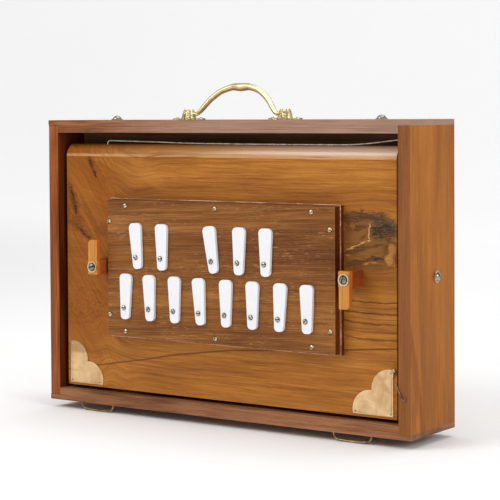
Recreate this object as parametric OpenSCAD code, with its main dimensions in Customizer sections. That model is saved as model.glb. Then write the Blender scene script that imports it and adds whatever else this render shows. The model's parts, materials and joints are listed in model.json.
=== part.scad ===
// Shruti box (surpeti): bellows drone instrument with thirteen turning finger tabs.
// Millimetres, +Z up, +X to the player's right of the tab side, +Y from the tab side to the pump side.
// Origin: floor level, middle of the width, middle of the overall depth (case plus latch screws).

/* [Case] */
// Width of the case across the tab side
case_w = 406; // [340:1:490]
// Height of the case without its feet
case_h = 275; // [235:1:330]
// Depth of the case
case_d = 80; // [74:1:100]
// Thickness of the four case boards
board_t = 12; // [9:0.5:14]
// Lip that top and bottom boards keep over the ends of the side boards
lip = 5; // [3:0.5:7]
// Height of the wire feet under the case
foot_h = 8; // [5:0.5:14]
// Width of one wire foot, leg to leg
foot_w = 39; // [28:0.5:40]
// Half the distance between left and right feet
foot_x = 144.5; // [110:1:150]
// Sideways place of the middle between the feet
foot_mid = -2; // [-4:0.1:4]
// Radius of the foot wire
foot_r = 1; // [0.8:0.1:1.5]

/* [Centre board] */
// Thickness of the fixed centre board
centre_t = 12; // [9:0.5:15]
// Distance from the case front to the middle of the centre board
centre_y = 46; // [42:0.5:48]
// Distance of the case screws from each end of the case
screw_in = 52; // [40:1:70]
// how far the pair of screws on the top sits right of the middle, mm
screw_mid = -2.5; // [-6:0.5:6]
// Diameter of the case screws' domed heads
case_head_d = 9; // [7:0.5:11]

/* [Front board] */
// Gap between front board and case at each side
front_side = 5.3; // [4:0.1:10]
// Gap under the front board
front_low = 3.5; // [3.5:0.5:8]
// Gap over the front board
front_high = 11; // [6:0.5:14]
// How far the front board's face sits behind the case front
front_set = 7; // [5:0.5:9]
// Thickness of the front board
front_t = 14; // [11:0.5:15]
// Radius of the rounded upper edge
front_round = 12; // [6:0.5:12]

/* [Key plate] */
// Width of the upper key plate
plate_w = 255.5; // [235:1:275]
// Height of the upper key plate
plate_h = 129.5; // [120:1:150]
// Thickness of the upper key plate
plate_t = 6.6; // [5:0.2:8]
// Thickness of the layer under the key plate
base_t = 5.7; // [3:0.1:6]
// How far the under layer stands out at the sides
ledge_x = 1.8; // [1:0.1:3]
// How far the under layer stands out above and below
ledge_z = 1.8; // [1:0.1:3]
// Height of the plate's middle above the case bottom
plate_z = 134; // [120:1:150]
// Sideways place of the plate's middle
plate_x = 3.2; // [-4:0.1:4]
// Sideways place of the screws and pivots against the plate's middle
screw_shift = -1.6; // [-3:0.1:0]
// Diameter of the plate screws' heads
plate_head_d = 5; // [4:0.5:6]

/* [Finger tabs] */
// Spacing of the lower row of eight tabs
tab_pitch = 29.25; // [27.5:0.05:31]
// Height of the lower pivots above the plate's middle (negative is below)
tab_low = -37; // [-40:0.5:-33]
// Height between the two rows of pivots
tab_rise = 48.4; // [47:0.2:52]
// Width at the wide, upper end
tab_wide = 13.7; // [12:0.1:14.2]
// Width at the narrow, lower end
tab_narrow = 9.8; // [8:0.1:11]
// Length from pivot to upper end
tab_up = 32.4; // [28:0.2:34]
// Length from pivot to lower end
tab_down = 10.9; // [9:0.1:12]
// Thickness of a tab
tab_t = 3; // [2:0.1:3.6]
// Sideways offset of the tab's middle from its pivot
tab_off = 1.3; // [0:0.1:3]
// Diameter of the sound hole under each tab
sound_d = 5.5; // [4:0.5:6]

/* [Turn latches] */
// Half the distance between the two latch screws
latch_x = 140.5; // [139:0.5:150]
// Sideways place of the middle between the latches
latch_mid = 6.7; // [0:0.1:8]
// Height of the latch screws above the case bottom
latch_z = 135; // [120:1:150]
// How much higher the right latch sits than the left one
latch_skew = 2; // [0:0.1:3]
// Depth of a latch block
latch_block_d = 19; // [14:0.2:22]
// Thickness of a latch lever
lever_t = 5; // [3.5:0.1:6]
// Length of a latch lever
lever_l = 33; // [24:0.5:36]
// Width of a latch lever
lever_w = 10.6; // [9:0.2:13]

/* [Brass corners and catch] */
// Size of a brass corner plate
corner_s = 41; // [30:1:50]
// Thickness of a brass corner plate
corner_t = 0.8; // [0.4:0.1:1]
// Length of the wire catch
hook_l = 25.6; // [20:0.1:32]

/* [Handle] */
// Distance between the two handle posts
post_span = 109.8; // [95:0.1:130]
// Sideways place of the handle's middle
handle_x = -3.2; // [-8:0.1:8]
// Distance of the handle from the case front
handle_y = 37; // [30:1:50]
// Height of the bail's pivots above the case top
pivot_h = 5.4; // [5.4:0.1:7]
// Rise of the bail's centre line above its pivots
bail_rise = 27; // [20:0.5:34]
// Thickness of the bail in the middle
bail_d = 7; // [5:0.2:8]
// Backward lean of the bail at rest, degrees
bail_lean = 18; // [0:1:30]

/* [Pump board] */
// Gap under the pump board
pump_low = 6; // [5.5:0.5:9]
// How far the pump board's face sits inside the case back
pump_set = 4; // [2:0.5:6]
// Thickness of the pump board
pump_t = 12; // [10:0.5:13]

/* [Fits] */
// Radial clearance of every turning fit
run_fit = 0.06; // [0.03:0.01:0.09]
// Radial clearance of screws, nails and wires in their holes
hole_fit = 0.05; // [0.02:0.01:0.1]
// Gap between pieces that move past each other
slip = 0.35; // [0.3:0.05:0.6]

/* [Hidden] */
$fn = 48;
in_w = case_w - 2 * board_t;
reach = latch_block_d + lever_t + 2 * slip + 0.8 + 2.4 - front_set;
yf = -(case_d - reach) / 2;
zc = foot_h;
ztop = foot_h + case_h;
fb_w = in_w - 2 * front_side;
fb_z0 = zc + board_t + front_low;
fb_z1 = ztop - board_t - front_high;
fb_y = yf + front_set;
fb_back = fb_y + front_t;
cb_y0 = yf + centre_y - centre_t / 2;
cb_y1 = yf + centre_y + centre_t / 2;
pb_y1 = yf + case_d - pump_set;
pb_y0 = pb_y1 - pump_t;
pb_z0 = zc + board_t + pump_low;
base_y = fb_y - base_t;
plate_y = base_y - plate_t;
tab_y = plate_y - slip - tab_t;
pz = zc + plate_z;
row_z = [pz + tab_low, pz + tab_low + tab_rise];
tab_cols = [0, 1, 2, 3, 4, 5, 6, 7, 0.5, 1.5, 3.5, 4.5, 5.5];
tab_tilt = [1.5, -2, -0.9, -3.7, -0.4, 0, 1.7, -0.7, -4.7, -1, -7.9, 0.6, -0.3];
function tab_x(i) = plate_x + screw_shift - 2.15 + (tab_cols[i] - 3.5) * tab_pitch;
function tab_z(i) = i < 8 ? row_z[0] : row_z[1];
hole_up = tab_up - 5.9;
pscr_x = plate_w / 2 - 22.9;
pscr_z = plate_h / 2 - 5;
pscr_xe = plate_w / 2 - 3.7;
pscr_ze = plate_h / 2 - 20;
plate_screw_at = [for (x = [-1, 0, 1], z = [-1, 1]) [x * pscr_x, z * pscr_z],
                  for (x = [-1, 1], z = [-1, 1]) [x * pscr_xe, z * pscr_ze]];
scr_x = case_w / 2 - screw_in;
function latch_zz(s) = zc + latch_z + (s > 0 ? latch_skew : 0);
scr_side_z = zc + case_h / 2;
bel_w = fb_w - 30;
bel_z0 = zc + board_t + 19.5;
bel_z1 = fb_z1 - 12;
fh_y = fb_back + 2.7;
fh_z = zc + board_t + 2.7;
ph_y = (cb_y1 + pb_y0) / 2;
ph_z = zc + board_t + 2.5;
ph_r = min(2.2, (pb_y0 - cb_y1) / 2 - 0.4);
hinge_x = in_w / 2 - 70;
piv_z = ztop + pivot_h;
hy = yf + handle_y;
cor_x = fb_w / 2 - 3.5;
cor_z = fb_z0 + 2.2;
hook_x = fb_w / 2 - 2.2;
hook_z = cor_z + corner_s - 0.5;
flap_h = 50;
flap_w = 26;
flap_x = 72;
flap_z = zc + case_h / 2 + 16;
spr_y = fb_y + front_round - 3;
spr_x0 = -fb_w / 2 + 44.5;

// ---- helpers ----
// box from corner to corner
module span(a, b) translate(a) cube([b[0] - a[0], b[1] - a[1], b[2] - a[2]]);
// cylinder along +Y starting at p
module ycyl(p, r, l) translate(p) rotate([-90, 0, 0]) cylinder(r = r, h = l);
// cylinder along +X starting at p
module xcyl(p, r, l) translate(p) rotate([0, 90, 0]) cylinder(r = r, h = l);
// round bar between two points
module bar(p, q, r) {
    d = q - p;
    l = norm(d);
    translate(p) rotate([0, acos(d[2] / l), atan2(d[1], d[0])]) cylinder(r = r, h = l);
}
// round bar through a list of points with ball corners
module wire(pts, r) {
    for (i = [0 : len(pts) - 2]) bar(pts[i], pts[i + 1], r);
    for (i = [1 : len(pts) - 2]) translate(pts[i]) sphere(r = r * 1.04);
}
// slotted domed screw, head on +Z side of the origin, shank below
module screw(hr, hh, sr, sl, slot, turn) {
    ball = (hr * hr + hh * hh) / (2 * hh);
    difference() {
        union() {
            intersection() {
                translate([0, 0, hh - ball]) sphere(r = ball);
                cylinder(r = hr, h = hh + 1);
            }
            translate([0, 0, -sl]) cylinder(r = sr, h = sl + 0.2);
        }
        if (slot > 0) rotate([0, 0, turn])
            translate([-hr - 1, -slot / 2, hh * 0.2]) cube([2 * hr + 2, slot, hh]);
    }
}
// the same screw with its head towards -Y
module yscrew(p, hr, hh, sr, sl, slot, turn)
    translate(p) rotate([90, 0, 0]) screw(hr, hh, sr, sl, slot, turn);
module ring(r1, r0, h) difference() {
    cylinder(r = r1, h = h);
    translate([0, 0, -1]) cylinder(r = r0, h = h + 2);
}

// ---- case ----
sh_r = 2;
module case_screw_holes() {
    for (s = [-1, 1]) {
        translate([screw_mid + s * scr_x, yf + centre_y, zc - 1])
            cylinder(r = sh_r + hole_fit, h = board_t + 14);
        translate([screw_mid + s * scr_x, yf + centre_y, ztop - board_t - 13])
            cylinder(r = sh_r + hole_fit, h = board_t + 14);
        xcyl([s > 0 ? in_w / 2 - 13 : -case_w / 2 - 1, yf + centre_y, scr_side_z],
            sh_r + hole_fit, board_t + 14);
    }
}
module foot_holes() for (sx = [-1, 1], sy = [0, 1], e = [-1, 1])
    translate([foot_mid + sx * foot_x + e * foot_w / 2, yf + (sy == 0 ? 4 : case_d - 4), zc - 1])
        cylinder(r = foot_r + hole_fit, h = 8);
module handle_screw_holes() for (p = [-1, 1], e = [-1, 1])
    translate([handle_x + p * post_span / 2 + e * 14, hy, ztop - 7]) cylinder(r = 1.1 + hole_fit, h = 8);
module plank_top() {
    span([-case_w / 2, yf, ztop - lip], [case_w / 2, yf + case_d, ztop]);
    span([-in_w / 2, yf, ztop - board_t], [in_w / 2, yf + case_d, ztop - lip / 2]);
}
module case_top() color("sienna") difference() {
    plank_top();
    case_screw_holes();
    handle_screw_holes();
}
module case_bottom() color("sienna") difference() {
    union() {
        span([-case_w / 2, yf, zc], [case_w / 2, yf + case_d, zc + lip]);
        span([-in_w / 2, yf, zc + lip / 2], [in_w / 2, yf + case_d, zc + board_t]);
    }
    case_screw_holes();
    foot_holes();
}
module case_side(s) color("peru") difference() {
    span([s > 0 ? in_w / 2 : -case_w / 2, yf, zc + lip],
         [s > 0 ? case_w / 2 : -in_w / 2, yf + case_d, ztop - lip]);
    case_screw_holes();
    if (s > 0) xcyl([in_w / 2 - 1, spr_y, fb_z1 + 5.65], 1.3, 8);
}
module case_left() case_side(-1);
module case_right() case_side(1);
module valve_holes() for (s = [-1, 1], k = [-1, 1])
    translate([s * flap_x, 0, flap_z - 25 + k * 10]) children();
module centre_board() color("burlywood") difference() {
    span([-in_w / 2, cb_y0, zc + board_t], [in_w / 2, cb_y1, ztop - board_t]);
    case_screw_holes();
    valve_holes() ycyl([0, cb_y0 - 1, 0], 7.5, centre_t + 2);
}
module at_case_screws(lift) {
    for (s = [-1, 1]) {
        translate([screw_mid + s * scr_x, yf + centre_y, ztop + lift]) children();
        translate([screw_mid + s * scr_x, yf + centre_y, zc - lift]) rotate([180, 0, 0]) children();
        translate([s * (case_w / 2 + lift), yf + centre_y, scr_side_z]) rotate([0, s * 90, 0]) children();
    }
}
module case_screws() color("silver")
    at_case_screws(1) screw(case_head_d / 2, 3.2, sh_r, board_t + 12, 1, 35);
module case_washers() color("gold") at_case_screws(0) ring(case_head_d / 2 + 1, sh_r + hole_fit, 1);
module wire_feet() color("darkkhaki") for (sx = [-1, 1], sy = [0, 1]) {
    x0 = foot_mid + sx * foot_x - foot_w / 2;
    x1 = foot_mid + sx * foot_x + foot_w / 2;
    y = yf + (sy == 0 ? 4 : case_d - 4);
    wire([[x0, y, zc + 6], [x0, y, foot_r], [x1, y, foot_r], [x1, y, zc + 6]], foot_r);
}

// ---- handle ----
bore_r = 1.9;
module handle_post(s) color("gold") {
    x = handle_x + s * post_span / 2;
    difference() {
        union() {
            translate([x, hy, ztop]) difference() {
                union() {
                    cylinder(r = 7.6, h = 1.4);
                    translate([-10, -5, 0]) cube([20, 10, 1.4]);
                    for (e = [-1, 1]) translate([e * 13, 0, 0]) cylinder(r = 5, h = 1.4);
                }
                for (e = [-1, 1]) translate([e * 14, 0, -1]) cylinder(r = 1.1 + hole_fit, h = 4);
            }
            translate([x, hy, ztop + 1.2]) rotate_extrude()
                polygon([[0, 0], [7.2, 0], [7.2, 1.4], [6.6, 2],
                         [6.6, 3.4], [5.4, 7.2], [4.4, 8.6], [0, 8.6]]);
        }
        xcyl([s > 0 ? x - 9 : x - 5, hy, piv_z], bore_r + run_fit, 14);
    }
}
module handle_post_left() handle_post(-1);
module handle_post_right() handle_post(1);
module handle_screws() color("gold") for (p = [-1, 1], e = [-1, 1])
    translate([handle_x + p * post_span / 2 + e * 14, hy, ztop + 1.4])
        screw(2.2, 1, 1.1, 6, 0.7, 20 + 40 * e);
// bail: arch with straight tapering arms and round pivot ends
bail_in = post_span / 2 - 9.8;
arch_r = (bail_in - bail_rise) / (sin(45) + cos(45) - 1);
module handle_bail() color("gold") translate([handle_x, hy, piv_z]) rotate([-bail_lean, 0, 0]) {
    translate([0, 3, 0]) rotate([90, 0, 0]) linear_extrude(height = 6) {
        translate([0, bail_rise - arch_r]) intersection() {
            difference() {
                circle(r = arch_r + bail_d / 2);
                circle(r = arch_r - bail_d / 2);
            }
            polygon([[0, 0], [60, 59], [-60, 59]]);
        }
        for (s = [-1, 1]) {
            k = sin(45);
            a = [arch_r * k, bail_rise - arch_r * (1 - k)];
            w = bail_d / 2 * k;
            polygon([[s * (a[0] - w), a[1] - w], [s * (a[0] + w), a[1] + w],
                     [s * (bail_in + 1.4), 1.4], [s * (bail_in - 1.4), -1.4]]);
            translate([s * bail_in, 0]) circle(r = 2);
        }
    }
    for (s = [-1, 1]) xcyl([s > 0 ? bail_in - 1 : -bail_in - 14.4, 0, 0], bore_r, 15.4);
}

// ---- front board and what it carries ----
module front_board_blank() difference() {
    span([-fb_w / 2, fb_y, fb_z0], [fb_w / 2, fb_back, fb_z1]);
    difference() {
        span([-fb_w / 2 - 1, fb_y - 1, fb_z1 - front_round], [fb_w / 2 + 1, fb_y + front_round, fb_z1 + 1]);
        xcyl([-fb_w / 2 - 2, fb_y + front_round, fb_z1 - front_round], front_round, fb_w + 4);
    }
}
module sound_holes() for (i = [0 : 12])
    ycyl([tab_x(i) + tab_off, plate_y - 1, tab_z(i) + hole_up], sound_d / 2, plate_t + base_t + front_t + 2);
module plate_screw_holes() for (p = plate_screw_at)
    ycyl([plate_x + screw_shift + p[0], plate_y - 1, pz + p[1]], 1.3 + hole_fit, plate_t + base_t + 6.4);
module at_corner_nails() for (s = [-1, 1]) for (p = [[2.2, 2.6], [2.2, corner_s - 3], [corner_s - 3, 2.6]])
    translate([s * (cor_x - p[0]), fb_y, cor_z + p[1]]) children();
module front_board() color("chocolate") difference() {
    front_board_blank();
    sound_holes();
    plate_screw_holes();
    at_corner_nails() ycyl([0, -1, 0], 0.6 + hole_fit, 7.5);
    ycyl([hook_x, fb_y - 1, hook_z], 0.8 + hole_fit, 8);
    for (s = [-1, 1]) ycyl([latch_mid + s * latch_x, fb_y - 1, latch_zz(s)], 1.9 + hole_fit, 8);
    translate([spr_x0, spr_y, fb_z1 - 9]) cylinder(r = 1.6, h = 12);
}
module plate_base() color("saddlebrown") difference() {
    span([plate_x - plate_w / 2 - ledge_x, base_y, pz - plate_h / 2 - ledge_z],
         [plate_x + plate_w / 2 + ledge_x, fb_y, pz + plate_h / 2 + ledge_z]);
    sound_holes();
    plate_screw_holes();
}
module key_plate() color("saddlebrown") difference() {
    span([plate_x - plate_w / 2, plate_y, pz - plate_h / 2],
         [plate_x + plate_w / 2, base_y, pz + plate_h / 2]);
    sound_holes();
    plate_screw_holes();
    for (i = [0 : 12]) ycyl([tab_x(i), plate_y - 1, tab_z(i)], 1.2 + hole_fit, 6.2);
}
module plate_screws() color("gold") for (i = [0 : len(plate_screw_at) - 1])
    yscrew([plate_x + screw_shift + plate_screw_at[i][0], plate_y, pz + plate_screw_at[i][1]],
           plate_head_d / 2, 1.6, 1.3, plate_t + base_t + 5, 0.8, i * 37);
module tab(i) color("white") translate([tab_x(i), tab_y, tab_z(i)]) rotate([0, tab_tilt[i], 0])
    translate([0, tab_t, 0]) rotate([90, 0, 0]) linear_extrude(height = tab_t) difference() {
        translate([tab_off, 0]) union() {
            ru = 4.6;
            rd = 3.8;
            polygon([[-tab_narrow / 2, rd - tab_down], [tab_narrow / 2, rd - tab_down],
                     [tab_wide / 2, tab_up - ru], [-tab_wide / 2, tab_up - ru]]);
            translate([ru - tab_wide / 2, tab_up - ru - 1]) square([tab_wide - 2 * ru, ru + 1]);
            translate([rd - tab_narrow / 2, -tab_down]) square([tab_narrow - 2 * rd, rd + 1]);
            for (s = [-1, 1]) {
                translate([s * (tab_wide / 2 - ru), tab_up - ru]) circle(r = ru);
                translate([s * (tab_narrow / 2 - rd), rd - tab_down]) circle(r = rd);
            }
        }
        circle(r = 1.2 + run_fit);
    }
module tab_screws() color("silver") for (i = [0 : 12])
    yscrew([tab_x(i), tab_y - slip, tab_z(i)], 2.5, 1.3, 1.2, tab_t + 2 * slip + 5, 0.8, i * 61);
// turn latches: block, lever, screw and washer; the left lever points up, the right one down
lv_y = fb_y - latch_block_d - slip - lever_t;
module latch_block(s) color("orangered") {
    x = latch_mid + s * latch_x;
    x1 = s > 0 ? x + 4.8 : min(x + 6.1, plate_x - plate_w / 2 - ledge_x - 0.6);
    difference() {
        span([x - (s > 0 ? 6.7 : 5.7), fb_y - latch_block_d, latch_zz(s) - 7.8],
             [x1, fb_y, latch_zz(s) + 7.2]);
        ycyl([x, fb_y - latch_block_d - 1, latch_zz(s)], 1.9 + hole_fit, latch_block_d + 2);
    }
}
module latch_block_left() latch_block(-1);
module latch_block_right() latch_block(1);
module latch_lever(s) color("sandybrown")
    translate([latch_mid + s * latch_x, lv_y + lever_t, latch_zz(s)]) rotate([90, 0, 0])
    linear_extrude(height = lever_t) rotate([0, 0, s > 0 ? 180 : 0]) difference() {
        w = lever_w / 2;
        u = lever_l - 7.3;
        polygon([[-w - 0.5, -7.3], [w + 0.5, -7.3], [w + 0.5, 5.5], [w, 6.5], [w, u],
                 [-w + 2.2, u], [-w, u - 2.6], [-w, 6.5], [-w - 0.5, 5.5]]);
        circle(r = 1.9 + run_fit);
    }
module latch_lever_left() latch_lever(-1);
module latch_lever_right() latch_lever(1);
module latch_washers() color("khaki") for (s = [-1, 1])
    translate([latch_mid + s * latch_x, lv_y - slip, latch_zz(s)]) rotate([90, 0, 0])
        ring(5.4, 1.9 + hole_fit, 0.8);
module latch_screws() color("silver") for (s = [-1, 1])
    yscrew([latch_mid + s * latch_x, lv_y - slip - 0.8, latch_zz(s)], 4.2, 2.4, 1.9,
           latch_block_d + lever_t + 2 * slip + 0.8 + 6, 1, 50 + s * 30);
module corner_plate() rotate([90, 0, 0]) linear_extrude(height = corner_t) difference() {
    intersection() {
        union() {
            lobe = corner_s * 0.43;
            off = corner_s * 0.1;
            translate([off, corner_s - lobe]) circle(r = lobe);
            translate([corner_s - lobe, off]) circle(r = lobe);
            polygon([[0, 0], [corner_s * 0.525, 0],
                     [corner_s * 0.525, corner_s * 0.525], [0, corner_s * 0.525]]);
        }
        polygon([[0, 0], [corner_s, 0], [corner_s, corner_s], [0, corner_s]]);
    }
    for (p = [[2.2, 2.6], [2.2, corner_s - 3], [corner_s - 3, 2.6]])
        translate([p[0], p[1]]) circle(r = 0.6 + hole_fit);
}
module corner_plate_left() color("gold") translate([-cor_x, fb_y, cor_z]) corner_plate();
module corner_plate_right() color("gold") translate([cor_x, fb_y, cor_z]) mirror([1, 0, 0]) corner_plate();
module corner_nails() color("gold") at_corner_nails()
    yscrew([0, -corner_t, 0], 1.1, 0.5, 0.6, 6 + corner_t, 0, 0);
// wire catch on its own nail beside the right corner plate
hk_y = fb_y - corner_t - 0.65 - slip;
module catch_nail() color("gold")
    yscrew([hook_x, hk_y - 0.65 - slip, hook_z], 1.6, 0.6, 0.8, fb_y - hk_y + 0.65 + slip + 6, 0, 0);
module catch_hook() color("silver") translate([hook_x, 0, hook_z]) rotate([0, -27.5, 0]) {
    translate([0, hk_y, 0]) rotate([90, 0, 0]) rotate_extrude() translate([1.56, 0]) circle(r = 0.65);
    wire([[0, hk_y, -1.56], [0, yf - 1.3, -7.2], [0, yf - 1.3, -hook_l]], 0.65);
    translate([1.5, yf - 1.3, -hook_l]) rotate([90, 0, 0]) rotate([0, 0, 180])
        rotate_extrude(angle = 180) translate([1.5, 0]) circle(r = 0.65);
    translate([0, hk_y, -1.56]) sphere(r = 0.65);
}
module return_spring() color("silver") translate([0, spr_y + 0.85, fb_z1]) rotate([90, 0, 0])
    linear_extrude(height = 1.7) {
        x1 = in_w / 2;
        polygon([[spr_x0 - 0.85, -7], [spr_x0 + 0.85, -7], [spr_x0 + 0.85, 0.6], [spr_x0 + 6, 2.4],
                 [spr_x0 + 110, 0.35],
                 [x1 - 75, 0.35], [x1 - 10, 4.8], [x1 + 6, 4.8], [x1 + 6, 6.5], [x1 - 10.3, 6.5],
                 [x1 - 75.3, 2.05], [spr_x0 + 110, 2.05], [spr_x0 + 6, 4.1], [spr_x0 - 0.85, 2.1]]);
    }

// ---- bellows, reeds, hinges, valves ----
module bellows(y0, y1) color("maroon") difference() {
    span([-bel_w / 2, y0 + 0.4, bel_z0], [bel_w / 2, y1 - 0.4, bel_z1]);
    span([-bel_w / 2 + 9, y0 - 1, bel_z0 + 9], [bel_w / 2 - 9, y1 + 1, bel_z1 - 9]);
}
module front_bellows() bellows(fb_back, cb_y0);
module rear_bellows() bellows(cb_y1, pb_y0);
module reed_plates() color("gold") for (i = [0 : 12])
    difference() {
        x = tab_x(i) + tab_off;
        z = tab_z(i) + hole_up;
        span([x - 6, fb_back, z - 36], [x + 6, fb_back + 1.3, z + 7.2]);
        span([x - 1.7, fb_back - 1, z - 25], [x + 1.7, fb_back + 3, z + 4]);
    }
module reed_tongues() color("khaki") for (i = [0 : 12]) {
    x = tab_x(i) + tab_off;
    z = tab_z(i) + hole_up;
    span([x - 1.5, fb_back + 1.3, z - 33], [x + 1.5, fb_back + 1.75, z + 3.7]);
    ycyl([x, fb_back + 1.75, z - 29.5], 1.4, 0.6);
}
// butt hinges; the leaf on the fixed board carries the two outer knuckles
module knuckle(y, z, x0, x1, r) translate([x0, y, z]) rotate([0, 90, 0]) ring(r, 1 + run_fit, x1 - x0);
module front_hinge_case() color("gold") for (s = [-1, 1]) {
    x = s * hinge_x;
    knuckle(fh_y, fh_z, x - 20, x - 7, 2.2);
    knuckle(fh_y, fh_z, x + 7, x + 20, 2.2);
    difference() {
        span([x - 20, fh_y, zc + board_t], [x + 20, min(fh_y + 14, cb_y0 - 1), zc + board_t + 1.1]);
        span([x - 7, fh_y - 1, zc], [x + 7, fh_y + 3, zc + board_t + 3]);
        xcyl([x - 21, fh_y, fh_z], 1.6, 42);
    }
}
module front_hinge_board() color("gold") for (s = [-1, 1]) {
    x = s * hinge_x;
    knuckle(fh_y, fh_z, x - 7 + slip, x + 7 - slip, 2.2);
    difference() {
        span([x - 20, fb_back, fh_z], [x + 20, fb_back + 1.1, bel_z0 - 1.5]);
        for (e = [-1, 1]) span([x + e * 14.5 - 7.5 - slip, fb_back - 1, fh_z - 1],
                               [x + e * 14.5 + 7.5 + slip, fb_back + 3, fh_z + 3.2]);
        xcyl([x - 21, fh_y, fh_z], 1.6, 42);
    }
}
module front_hinge_pins() color("gold") for (s = [-1, 1]) xcyl([s * hinge_x - 20, fh_y, fh_z], 1, 40);
module pump_hinge_case() color("gold") for (s = [-1, 1]) {
    x = s * hinge_x;
    knuckle(ph_y, ph_z, x - 20, x - 7, ph_r);
    knuckle(ph_y, ph_z, x + 7, x + 20, ph_r);
    difference() {
        union() {
            span([x - 20, cb_y1, ph_z - 0.6], [x + 20, cb_y1 + 0.9, bel_z0 - 1.5]);
            for (e = [-1, 1]) span([x + e * 13.5 - 6.5, cb_y1, ph_z - 0.6],
                [x + e * 13.5 + 6.5, ph_y, ph_z + 0.6]);
        }
        span([x - 7, cb_y1 - 1, ph_z - 3], [x + 7, cb_y1 + 3, ph_z + 3.2]);
        xcyl([x - 21, ph_y, ph_z], 1.5, 42);
    }
}
module pump_hinge_board() color("gold") for (s = [-1, 1]) {
    x = s * hinge_x;
    knuckle(ph_y, ph_z, x - 7 + slip, x + 7 - slip, ph_r);
    difference() {
        union() {
            span([x - 20, pb_y0 - 0.9, ph_z - 0.6], [x + 20, pb_y0, bel_z0 - 1.5]);
            span([x - 7 + slip, ph_y, ph_z - 0.6], [x + 7 - slip, pb_y0, ph_z + 0.6]);
        }
        for (e = [-1, 1]) span([x + e * 14.5 - 7.5 - slip, pb_y0 - 3, ph_z - 3],
                               [x + e * 14.5 + 7.5 + slip, pb_y0 + 1, ph_z + 3.2]);
        xcyl([x - 21, ph_y, ph_z], 1.5, 42);
    }
}
module pump_hinge_pins() color("gold") for (s = [-1, 1]) xcyl([s * hinge_x - 20, ph_y, ph_z], 1, 40);
module flap(s, y) color("tan") translate([s * flap_x, y, flap_z])
    union() {
        translate([-flap_w / 2, 0, -flap_h]) cube([flap_w, 1.2, flap_h]);
        xcyl([-flap_w / 2, 0.6, 0], 0.6, flap_w);
    }
module battens(y0, y1) color("burlywood") for (s = [-1, 1])
    span([s * flap_x - flap_w / 2, y0, flap_z + slip + 0.6],
         [s * flap_x + flap_w / 2, y1, flap_z + slip + 7.6]);
module centre_flap_left() flap(-1, cb_y0 - slip - 1.2);
module centre_flap_right() flap(1, cb_y0 - slip - 1.2);
module centre_battens() battens(cb_y0 - 3.5, cb_y0);
module pump_flap_left() flap(-1, pb_y0 - slip - 1.2);
module pump_flap_right() flap(1, pb_y0 - slip - 1.2);
module pump_battens() battens(pb_y0 - 2, pb_y0);
module pump_board() color("chocolate") difference() {
    span([-fb_w / 2, pb_y0, pb_z0], [fb_w / 2, pb_y1, fb_z1]);
    difference() {
        span([-fb_w / 2 - 1, pb_y1 - pump_t + 2, fb_z1 - pump_t + 2], [fb_w / 2 + 1, pb_y1 + 1, fb_z1 + 1]);
        xcyl([-fb_w / 2 - 2, pb_y1 - pump_t + 2, fb_z1 - pump_t + 2], pump_t - 2, fb_w + 4);
    }
    valve_holes() ycyl([0, pb_y0 - 1, 0], 7, pump_t + 2);
}

case_top();
case_bottom();
case_left();
case_right();
centre_board();
case_screws();
case_washers();
wire_feet();
handle_post_left();
handle_post_right();
handle_screws();
handle_bail();
front_board();
plate_base();
key_plate();
plate_screws();
tab(0);  // tab_01
tab(1);  // tab_02
tab(2);  // tab_03
tab(3);  // tab_04
tab(4);  // tab_05
tab(5);  // tab_06
tab(6);  // tab_07
tab(7);  // tab_08
tab(8);  // tab_09
tab(9);  // tab_10
tab(10);  // tab_11
tab(11);  // tab_12
tab(12);  // tab_13
tab_screws();
latch_block_left();
latch_block_right();
latch_lever_left();
latch_lever_right();
latch_screws();
latch_washers();
corner_plate_left();
corner_plate_right();
corner_nails();
catch_hook();
catch_nail();
return_spring();
front_bellows();
reed_plates();
reed_tongues();
front_hinge_case();
front_hinge_board();
front_hinge_pins();
centre_flap_left();
centre_flap_right();
centre_battens();
pump_board();
pump_hinge_case();
pump_hinge_board();
pump_hinge_pins();
rear_bellows();
pump_flap_left();
pump_flap_right();
pump_battens();
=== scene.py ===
"""Looks of the shruti box: materials, softened edges, pleated bellows, drawn handle and wires, stage."""
import json
import math
import bmesh
import bpy
from mathutils import Matrix, Vector


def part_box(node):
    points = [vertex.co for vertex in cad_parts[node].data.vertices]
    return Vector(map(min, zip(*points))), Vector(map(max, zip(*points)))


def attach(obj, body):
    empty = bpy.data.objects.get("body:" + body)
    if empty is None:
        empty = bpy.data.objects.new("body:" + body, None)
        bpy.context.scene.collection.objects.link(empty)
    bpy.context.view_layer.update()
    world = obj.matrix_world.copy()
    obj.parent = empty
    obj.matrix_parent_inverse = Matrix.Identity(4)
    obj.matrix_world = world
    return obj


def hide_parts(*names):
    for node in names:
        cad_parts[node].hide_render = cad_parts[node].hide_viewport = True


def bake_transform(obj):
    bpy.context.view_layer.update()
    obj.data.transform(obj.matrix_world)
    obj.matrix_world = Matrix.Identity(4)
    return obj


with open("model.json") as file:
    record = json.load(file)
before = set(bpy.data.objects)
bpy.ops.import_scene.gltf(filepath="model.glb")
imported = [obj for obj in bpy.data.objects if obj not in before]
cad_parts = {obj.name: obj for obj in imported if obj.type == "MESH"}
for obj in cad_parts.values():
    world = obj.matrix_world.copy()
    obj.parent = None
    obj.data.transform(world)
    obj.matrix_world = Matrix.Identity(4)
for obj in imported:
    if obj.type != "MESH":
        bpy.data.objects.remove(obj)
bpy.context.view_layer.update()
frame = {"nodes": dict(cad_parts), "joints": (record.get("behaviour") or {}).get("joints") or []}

bl_info = {"name": "Shruti box looks", "version": (1, 0, 0), "blender": (4, 5, 0),
           "location": "View3D > Sidebar > Shruti box",
           "description": "Dresses a hand-pumped drone box with its woods, brass, bellows and wires",
           "category": "Object"}
MM = 0.001
CAMERA_AT = (0.9127, -1.29615, 0.2896)
CAMERA_TURN = (34.64, 1.98, -0.31)      # yaw, pitch and roll in degrees
LENS_MM = 122.64
LENS_SHIFT = -0.1573
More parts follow.
